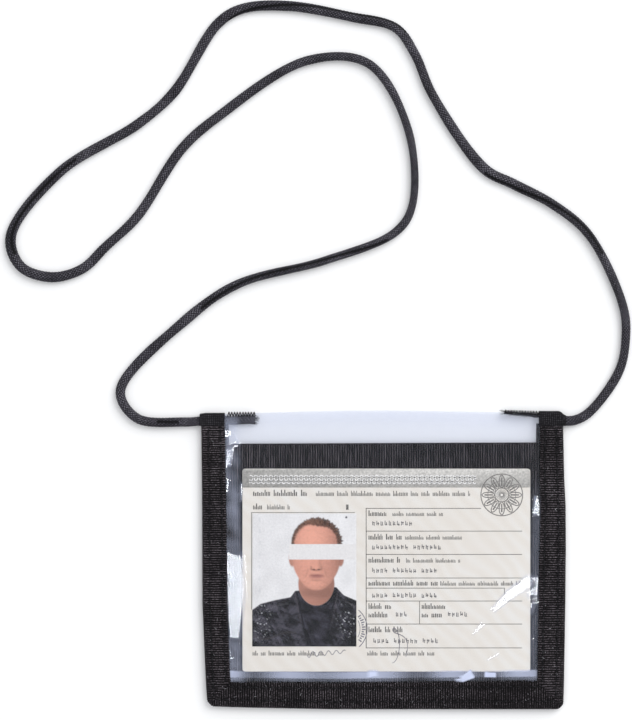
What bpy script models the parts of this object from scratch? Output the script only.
# Neck pouch wallet, lying on its back: a clear-fronted card pouch with a folded
# tape binding on three sides, an open mouth at +Y and a braided neck cord.
# Units are metres. +Z is up out of the clear front, +Y runs towards the mouth and
# the origin is at the middle of the pouch's back face, without the cord.
import math

import bmesh
import bpy
from mathutils import Matrix, Vector

# ---- driving dimensions -------------------------------------------------------
POUCH_WIDTH = 0.1318
POUCH_HEIGHT = 0.1084
POUCH_DEPTH = 0.0030
CORNER_RADIUS = 0.0030
TAPE_THICKNESS = 0.00045
TAPE_FRONT_REACH = 0.00925      # how far the tape covers the front window
TAPE_BACK_REACH = 0.01075       # and how far it covers the back window
FOLD_LENGTH = 0.00485           # turned-over tape end at each top corner
PIECE_GAP = 0.00015

BACK_WINDOW_Z = 0.00055         # underside of each layer
DIVIDER_Z = 0.00095
CARD_Z = 0.00180
WINDOW_EDGE_Z = 0.00220
WINDOW_MIDDLE_Z = 0.00260
WINDOW_THICKNESS = 0.00025
DIVIDER_THICKNESS = 0.00070
DIVIDER_TOP = 0.0430
LAYER_INSET = 0.0008            # from the pouch's outline to the layers' edges

CARD_WIDTH = 0.1050             # the A7 identity card size
CARD_HEIGHT = 0.0740
CARD_THICKNESS = 0.00060
CARD_CENTRE = (0.00058, -0.00342)
CARD_CORNER = 0.0010
PRINT_WIDTH = 0.0380
PRINT_HEIGHT = 0.0485
PRINT_CENTRE = (-0.02935, -0.0070)
PRINT_THICKNESS = 0.00008
PRINT_LIFT = 0.00005

CORD_DIAMETER = 0.0032
CORD_TUBE_POINTS = 80
CORD_STRAIGHT_RUN = 0.0025
CORD_END_WIDTH = 0.0040         # the hollow braid lies flat inside the corners
CORD_END_THICKNESS = 0.00070
CORD_END_Z = 0.00090
CORD_END_Y = 0.0513
LEFT_END_INNER_X = -0.0473
RIGHT_END_INNER_X = 0.0437
RIGHT_TAIL_X = 0.0572            # past here the right end is rolled into a thin tail
RIGHT_TAIL_WIDTH = 0.0013
RIGHT_TAIL_RISE = 0.0006
CORD_GAP = 0.0003

INNER_ROW = (0.05815, -0.0469)  # half width of a stitch row, and its bottom
OUTER_ROW = (0.06285, -0.0514)
GROOVE_WIDTH = 0.0006
GROOVE_DEPTH = 0.00025
NEEDLE_THREAD_RADIUS = 0.00016
BOBBIN_THREAD_RADIUS = 0.00009
THREAD_LIFT = 0.00005           # clearance between a thread and its groove

BARTACK_PITCH = 0.0010
BARTACK_REACH = 0.0006          # half of the zigzag's height
BARTACK_Y = 0.0533
BARTACK_OUTER_X = 0.0560
BARTACK_LIFT = 0.00012

HALF_WIDTH = POUCH_WIDTH / 2
HALF_HEIGHT = POUCH_HEIGHT / 2
FOLD_START_Y = HALF_HEIGHT - FOLD_LENGTH
FRONT_INNER_X = HALF_WIDTH - TAPE_FRONT_REACH
FRONT_INNER_Y = TAPE_FRONT_REACH - HALF_HEIGHT
BACK_INNER_X = HALF_WIDTH - TAPE_BACK_REACH
BACK_INNER_Y = TAPE_BACK_REACH - HALF_HEIGHT
LAYER_HALF_WIDTH = HALF_WIDTH - LAYER_INSET
LAYER_BOTTOM = LAYER_INSET - HALF_HEIGHT
LAYER_CORNER = CORNER_RADIUS - LAYER_INSET

# The cord's route from the left corner round to the right one, lying on the table.
CORD_ROUTE = [
    (-0.0662, 0.0510), (-0.0735, 0.0506), (-0.0905, 0.0520), (-0.0965, 0.0620),
    (-0.0725, 0.0880), (-0.0535, 0.1010), (-0.0220, 0.1095), (0.0040, 0.1200),
    (0.0100, 0.1295), (0.0085, 0.1575), (-0.0060, 0.1815), (-0.0285, 0.1825),
    (-0.0610, 0.1620), (-0.0740, 0.1505), (-0.0905, 0.1255), (-0.1020, 0.1145),
    (-0.1105, 0.1065), (-0.1220, 0.1035), (-0.1330, 0.1075), (-0.1365, 0.1185),
    (-0.1185, 0.1420), (-0.0900, 0.1595), (-0.0770, 0.1710), (-0.0610, 0.1960),
    (-0.0520, 0.2015), (-0.0350, 0.2025), (-0.0120, 0.1985), (0.0040, 0.1945),
    (0.0110, 0.1850), (0.0175, 0.1700), (0.0365, 0.1430), (0.0470, 0.1375),
    (0.0615, 0.1300), (0.0745, 0.1190), (0.0870, 0.0930), (0.0880, 0.0810),
    (0.0855, 0.0690), (0.0745, 0.0540), (0.0692, 0.0512), (0.0662, 0.0510),
]


def clear_scene():
    for obj in list(bpy.data.objects):
        bpy.data.objects.remove(obj, do_unlink=True)


def collection(name):
    found = bpy.data.collections.get(name) or bpy.data.collections.new(name)
    if name not in bpy.context.scene.collection.children:
        bpy.context.scene.collection.children.link(found)
    return found


def material(name, colour, roughness, metallic=0.0):
    made = bpy.data.materials.new(name)
    made.use_nodes = True
    shader = made.node_tree.nodes["Principled BSDF"]
    shader.inputs["Base Color"].default_value = (*colour, 1.0)
    shader.inputs["Roughness"].default_value = roughness
    shader.inputs["Metallic"].default_value = metallic
    return made


def add_part(name, mesh, colour, roughness):
    obj = bpy.data.objects.new(name, mesh)
    mesh.materials.append(material(name + "_material", colour, roughness))
    parts.objects.link(obj)
    return obj


def add_cutter(name, mesh):
    obj = bpy.data.objects.new(name, mesh)
    obj.hide_render = True
    obj.display_type = 'WIRE'
    cutters.objects.link(obj)
    return obj


def cut(target, cutter):
    modifier = target.modifiers.new(cutter.name, 'BOOLEAN')
    modifier.operation = 'DIFFERENCE'
    modifier.solver = 'EXACT'
    modifier.object = cutter


def arc(centre, radius, start_degrees, end_degrees, steps=6):
    points = []
    for step in range(steps + 1):
        angle = math.radians(start_degrees + (end_degrees - start_degrees) * step / steps)
        points.append((centre[0] + radius * math.cos(angle), centre[1] + radius * math.sin(angle)))
    return points


def rectangle(left, right, bottom, top, low_radius=0.0, high_radius=0.0):
    """Outline of a rectangle, counter-clockwise, with round lower or upper corners."""
    points = []
    corners = [(left, bottom, low_radius, 1, 1, 180), (right, bottom, low_radius, -1, 1, 270),
               (right, top, high_radius, -1, -1, 0), (left, top, high_radius, 1, -1, 90)]
    for x, y, radius, inward_x, inward_y, start in corners:
        if radius > 0:
            centre = (x + inward_x * radius, y + inward_y * radius)
            points += arc(centre, radius, start, start + 90)
        else:
            points.append((x, y))
    return points


def plate(outline, bottom, top, matrix=Matrix.Identity(4)):
    """Mesh of a flat outline between two heights, from a filled 2D curve."""
    curve = bpy.data.curves.new("outline", 'CURVE')
    curve.dimensions = '2D'
    curve.fill_mode = 'BOTH'
    curve.extrude = (top - bottom) / 2
    spline = curve.splines.new('POLY')
    spline.points.add(len(outline) - 1)
    for point, (x, y) in zip(spline.points, outline):
        point.co = (x, y, 0.0, 1.0)
    spline.use_cyclic_u = True
    lift = Matrix.Translation((0.0, 0.0, (top + bottom) / 2))
    return curve_to_mesh(curve, matrix @ lift)


def curve_to_mesh(curve, matrix=Matrix.Identity(4)):
    holder = bpy.data.objects.new("holder", curve)
    bpy.context.scene.collection.objects.link(holder)
    bpy.context.view_layer.update()
    evaluated = holder.evaluated_get(bpy.context.evaluated_depsgraph_get())
    mesh = bpy.data.meshes.new_from_object(evaluated)
    bpy.data.objects.remove(holder, do_unlink=True)
    bm = bmesh.new()
    bm.from_mesh(mesh)
    bmesh.ops.remove_doubles(bm, verts=bm.verts, dist=1e-6)
    bm.transform(matrix)
    bmesh.ops.recalc_face_normals(bm, faces=bm.faces)
    bm.to_mesh(mesh)
    bm.free()
    mesh.materials.clear()
    return mesh


def tube(name, points, radius, colour, roughness, resolution=2):
    curve = bpy.data.curves.new(name, 'CURVE')
    curve.dimensions = '3D'
    curve.bevel_depth = radius
    curve.bevel_resolution = resolution
    curve.use_fill_caps = True
    spline = curve.splines.new('POLY')
    spline.points.add(len(points) - 1)
    for point, place in zip(spline.points, points):
        point.co = (*place, 1.0)
    spline.use_smooth = True
    return add_part(name, curve, colour, roughness)


def smooth_route(points, count):
    """Even points along a centripetal Catmull-Rom curve through the route."""
    route = [Vector(point) for point in points]
    route = [2 * route[0] - route[1]] + route + [2 * route[-1] - route[-2]]
    fine = []
    for index in range(1, len(route) - 2):
        p0, p1, p2, p3 = route[index - 1:index + 3]
        t1 = math.sqrt((p1 - p0).length)
        t2 = t1 + math.sqrt((p2 - p1).length)
        t3 = t2 + math.sqrt((p3 - p2).length)
        for step in range(24):
            t = t1 + (t2 - t1) * step / 24
            a1 = p0.lerp(p1, t / t1)
            a2 = p1.lerp(p2, (t - t1) / (t2 - t1))
            a3 = p2.lerp(p3, (t - t2) / (t3 - t2))
            b1 = a1.lerp(a2, t / t2)
            b2 = a2.lerp(a3, (t - t1) / (t3 - t1))
            fine.append(b1.lerp(b2, (t - t1) / (t2 - t1)))
    fine.append(route[-2])
    travelled = [0.0]
    for before, after in zip(fine, fine[1:]):
        travelled.append(travelled[-1] + (after - before).length)
    even = []
    index = 0
    for step in range(count):
        wanted = travelled[-1] * step / (count - 1)
        while index < len(fine) - 2 and travelled[index + 1] < wanted:
            index += 1
        share = (wanted - travelled[index]) / (travelled[index + 1] - travelled[index])
        even.append(fine[index].lerp(fine[index + 1], min(1.0, share)))
    return even


def row_outline(row, half_gap, top):
    """U-shaped strip that follows a stitch row down, across and up again."""
    x, y = row
    outer_x = x + half_gap
    inner_x = x - half_gap
    outer_y = y - half_gap
    inner_y = y + half_gap
    return [(-outer_x, outer_y), (outer_x, outer_y), (outer_x, top), (inner_x, top),
            (inner_x, inner_y), (-inner_x, inner_y), (-inner_x, top), (-outer_x, top)]


def binding_tape():
    """One strip of ribbed tape, folded over the left, bottom and right edges."""
    outline = rectangle(-HALF_WIDTH, HALF_WIDTH, -HALF_HEIGHT, FOLD_START_Y, CORNER_RADIUS)
    tape = add_part("binding_tape", plate(outline, 0.0, POUCH_DEPTH), (0.012, 0.012, 0.014), 0.85)
    above = FOLD_START_Y + 0.01
    beyond = 0.001
    wall = TAPE_THICKNESS
    hollow = rectangle(wall - HALF_WIDTH, HALF_WIDTH - wall, wall - HALF_HEIGHT, above,
                       CORNER_RADIUS - wall)
    cut(tape, add_cutter("tape_hollow", plate(hollow, wall, POUCH_DEPTH - wall)))
    front = rectangle(-FRONT_INNER_X, FRONT_INNER_X, FRONT_INNER_Y, above)
    cut(tape, add_cutter("front_opening", plate(front, POUCH_DEPTH / 2, POUCH_DEPTH + beyond)))
    back = rectangle(-BACK_INNER_X, BACK_INNER_X, BACK_INNER_Y, above)
    cut(tape, add_cutter("back_opening", plate(back, -beyond, POUCH_DEPTH / 2)))
    for label, row in (("inner", INNER_ROW), ("outer", OUTER_ROW)):
        groove = row_outline(row, GROOVE_WIDTH / 2, above)
        high = plate(groove, POUCH_DEPTH - GROOVE_DEPTH, POUCH_DEPTH + beyond)
        cut(tape, add_cutter("front_groove_" + label, high))
        low = plate(groove, -beyond, GROOVE_DEPTH)
        cut(tape, add_cutter("back_groove_" + label, low))


def corner_fold(name, side):
    """Turned-over tape end: a flat sleeve that the cord end runs through along X."""
    wall = TAPE_THICKNESS
    start = FOLD_START_Y + PIECE_GAP
    end = HALF_HEIGHT
    rounding = 0.0008
    outer = [(start, 0.0)]
    outer += arc((end - rounding, rounding), rounding, 270, 360, 4)
    outer += arc((end - rounding, POUCH_DEPTH - rounding), rounding, 0, 90, 4)
    outer += [(start, POUCH_DEPTH)]
    inner = [(start, POUCH_DEPTH - wall), (end - wall, POUCH_DEPTH - wall), (end - wall, wall), (start, wall)]
    # The section is drawn in Y and Z, and extruded along X.
    section_to_row = Matrix(((0, 0, 1, 0), (1, 0, 0, 0), (0, 1, 0, 0), (0, 0, 0, 1)))
    left, right = sorted((side * FRONT_INNER_X, side * HALF_WIDTH))
    mesh = plate(outer + inner, left, right, section_to_row)
    add_part(name, mesh, (0.014, 0.014, 0.016), 0.8)


def window_height(x, y):
    """Underside of the front window, which rises from the binding onto the card."""
    flat_x = CARD_WIDTH / 2 + 0.0017
    flat_y = CARD_CENTRE[1] - CARD_HEIGHT / 2 - 0.0005
    rise_x = (FRONT_INNER_X - 0.0003 - abs(x)) / (FRONT_INNER_X - 0.0003 - flat_x)
    rise_y = (y - FRONT_INNER_Y - 0.0003) / (flat_y - FRONT_INNER_Y - 0.0003)
    rise = max(0.0, min(1.0, rise_x, rise_y))
    return WINDOW_EDGE_Z + (WINDOW_MIDDLE_Z - WINDOW_EDGE_Z) * rise * rise * (3 - 2 * rise)


def front_window():
    """Clear film over the card pocket, let into the binding on three sides."""
    edge = FRONT_INNER_X - 0.0003
    positive = [0.02, 0.04, CARD_WIDTH / 2 + 0.0017, 0.0552, edge, LAYER_HALF_WIDTH]
    across = [-x for x in reversed(positive)] + [0.0] + positive
    flat_y = CARD_CENTRE[1] - CARD_HEIGHT / 2 - 0.0005
    up = [LAYER_BOTTOM, FRONT_INNER_Y + 0.0003, (FRONT_INNER_Y + flat_y) / 2, flat_y, 0.0, FOLD_START_Y, HALF_HEIGHT]
    bm = bmesh.new()
    bmesh.ops.create_grid(bm, x_segments=len(across) - 1, y_segments=len(up) - 1, size=0.5)
    for vert in bm.verts:
        x = across[round((vert.co.x + 0.5) * (len(across) - 1))]
        y = up[round((vert.co.y + 0.5) * (len(up) - 1))]
        if y == HALF_HEIGHT and abs(x) >= edge:
            y = HALF_HEIGHT - LAYER_INSET
        vert.co = (x, y, window_height(x, y))
        if y == LAYER_BOTTOM and abs(x) == LAYER_HALF_WIDTH:
            corner = LAYER_CORNER * (1 - math.sqrt(0.5))
            vert.co.x -= math.copysign(corner, x)
            vert.co.y += corner
    mesh = bpy.data.meshes.new("front_window")
    bm.to_mesh(mesh)
    bm.free()
    window = add_part("front_window", mesh, (0.75, 0.80, 0.90), 0.08)
    thicken = window.modifiers.new("film", 'SOLIDIFY')
    thicken.thickness = WINDOW_THICKNESS
    thicken.offset = 1.0


def flat_layers():
    outline = rectangle(-LAYER_HALF_WIDTH, LAYER_HALF_WIDTH, LAYER_BOTTOM, HALF_HEIGHT - LAYER_INSET, LAYER_CORNER)
    film = plate(outline, BACK_WINDOW_Z, BACK_WINDOW_Z + WINDOW_THICKNESS)
    add_part("back_window", film, (0.75, 0.80, 0.90), 0.08)
    outline = rectangle(-LAYER_HALF_WIDTH, LAYER_HALF_WIDTH, LAYER_BOTTOM, DIVIDER_TOP, LAYER_CORNER)
    cloth = plate(outline, DIVIDER_Z, DIVIDER_Z + DIVIDER_THICKNESS)
    add_part("divider_panel", cloth, (0.015, 0.016, 0.020), 0.8)


def centred(centre, width, height, radius=0.0):
    return rectangle(centre[0] - width / 2, centre[0] + width / 2,
                     centre[1] - height / 2, centre[1] + height / 2, radius, radius)


def identity_card():
    """Sample card: a stiff sheet with a portrait print bonded to its face."""
    top = CARD_Z + CARD_THICKNESS
    sheet = plate(centred(CARD_CENTRE, CARD_WIDTH, CARD_HEIGHT, CARD_CORNER), CARD_Z, top)
    add_part("card_core", sheet, (0.78, 0.74, 0.63), 0.5)
    low = top + PRINT_LIFT
    portrait = plate(centred(PRINT_CENTRE, PRINT_WIDTH, PRINT_HEIGHT), low, low + PRINT_THICKNESS)
    add_part("portrait_print", portrait, (0.55, 0.55, 0.55), 0.35)


def left_cord_end():
    """Flattened end of the hollow braid, held between the two windows."""
    left, right = -HALF_WIDTH, LEFT_END_INNER_X
    bm = bmesh.new()
    bmesh.ops.create_cube(bm, size=1.0)
    size = (right - left, CORD_END_WIDTH, CORD_END_THICKNESS)
    bmesh.ops.scale(bm, vec=size, verts=bm.verts)
    mesh = bpy.data.meshes.new("left_cord_end")
    bm.to_mesh(mesh)
    bm.free()
    end = add_part("left_cord_end", mesh, (0.012, 0.012, 0.013), 0.8)
    end.location = ((left + right) / 2, CORD_END_Y, CORD_END_Z + CORD_END_THICKNESS / 2)
    soften = end.modifiers.new("soft_edges", 'BEVEL')
    soften.width = 0.0002
    soften.segments = 2


def right_cord_end():
    """Right end of the braid: flat inside its corner, then a thin tail below the tack."""
    low = FOLD_START_Y + PIECE_GAP
    high = CORD_END_Y + CORD_END_WIDTH / 2
    tip = high + RIGHT_TAIL_RISE
    outline = [(HALF_WIDTH, low), (HALF_WIDTH, high), (RIGHT_TAIL_X, high), (RIGHT_END_INNER_X, tip),
               (RIGHT_END_INNER_X, tip - RIGHT_TAIL_WIDTH), (RIGHT_TAIL_X, high - RIGHT_TAIL_WIDTH),
               (RIGHT_TAIL_X, low)]
    mesh = plate(outline, CORD_END_Z, CORD_END_Z + CORD_END_THICKNESS)
    add_part("right_cord_end", mesh, (0.012, 0.012, 0.013), 0.8)


def neck_cord():
    height = CORD_DIAMETER / 2 + 0.00002
    points = smooth_route([(x, y, height) for x, y in CORD_ROUTE], CORD_TUBE_POINTS - 2)
    # A short straight run at both ends squares the tube's ends to the corners.
    points.insert(1, points[0] - Vector((CORD_STRAIGHT_RUN, 0.0, 0.0)))
    points.insert(-1, points[-1] + Vector((CORD_STRAIGHT_RUN, 0.0, 0.0)))
    tube("neck_cord", points, CORD_DIAMETER / 2, (0.012, 0.012, 0.013), 0.75)


def stitch_row(name, row, height, radius):
    """Continuous thread of one stitch row, down the left, across and up the right."""
    x, y = row
    top = FOLD_START_Y - CORD_GAP
    turn = 0.0002
    points = [(-x, top, height), (-x, y + turn, height), (turn - x, y, height),
              (x - turn, y, height), (x, y + turn, height), (x, top, height)]
    tube(name, points, radius, (0.010, 0.010, 0.011), 0.7, 1)


def stitch_rows():
    needle_z = POUCH_DEPTH - GROOVE_DEPTH + THREAD_LIFT + NEEDLE_THREAD_RADIUS
    bobbin_z = GROOVE_DEPTH - THREAD_LIFT - BOBBIN_THREAD_RADIUS
    stitch_row("needle_thread_inner", INNER_ROW, needle_z, NEEDLE_THREAD_RADIUS)
    stitch_row("needle_thread_outer", OUTER_ROW, needle_z, NEEDLE_THREAD_RADIUS)
    stitch_row("bobbin_thread_inner", INNER_ROW, bobbin_z, BOBBIN_THREAD_RADIUS)
    stitch_row("bobbin_thread_outer", OUTER_ROW, bobbin_z, BOBBIN_THREAD_RADIUS)


def bartack(name, side, inner_x):
    """Zigzag of thread through the window's top edge and the cord end behind it."""
    count = round((BARTACK_OUTER_X - inner_x) / BARTACK_PITCH)
    points = []
    for step in range(2 * count + 1):
        x = inner_x + (BARTACK_OUTER_X - inner_x) * step / (2 * count)
        y = BARTACK_Y + BARTACK_REACH * (-1 if step % 2 else 1)
        z = window_height(x, y) + WINDOW_THICKNESS + BARTACK_LIFT + NEEDLE_THREAD_RADIUS
        points.append((side * x, y, z))
    tube(name, points, NEEDLE_THREAD_RADIUS, (0.012, 0.012, 0.013), 0.7, 1)


clear_scene()
parts = collection("neck_pouch_wallet")
cutters = collection("cutters")
binding_tape()
corner_fold("left_corner_fold", -1)
corner_fold("right_corner_fold", 1)
front_window()
flat_layers()
identity_card()
left_cord_end()
right_cord_end()
neck_cord()
stitch_rows()
bartack("left_bartack", -1, -LEFT_END_INNER_X)
bartack("right_bartack", 1, RIGHT_END_INNER_X)
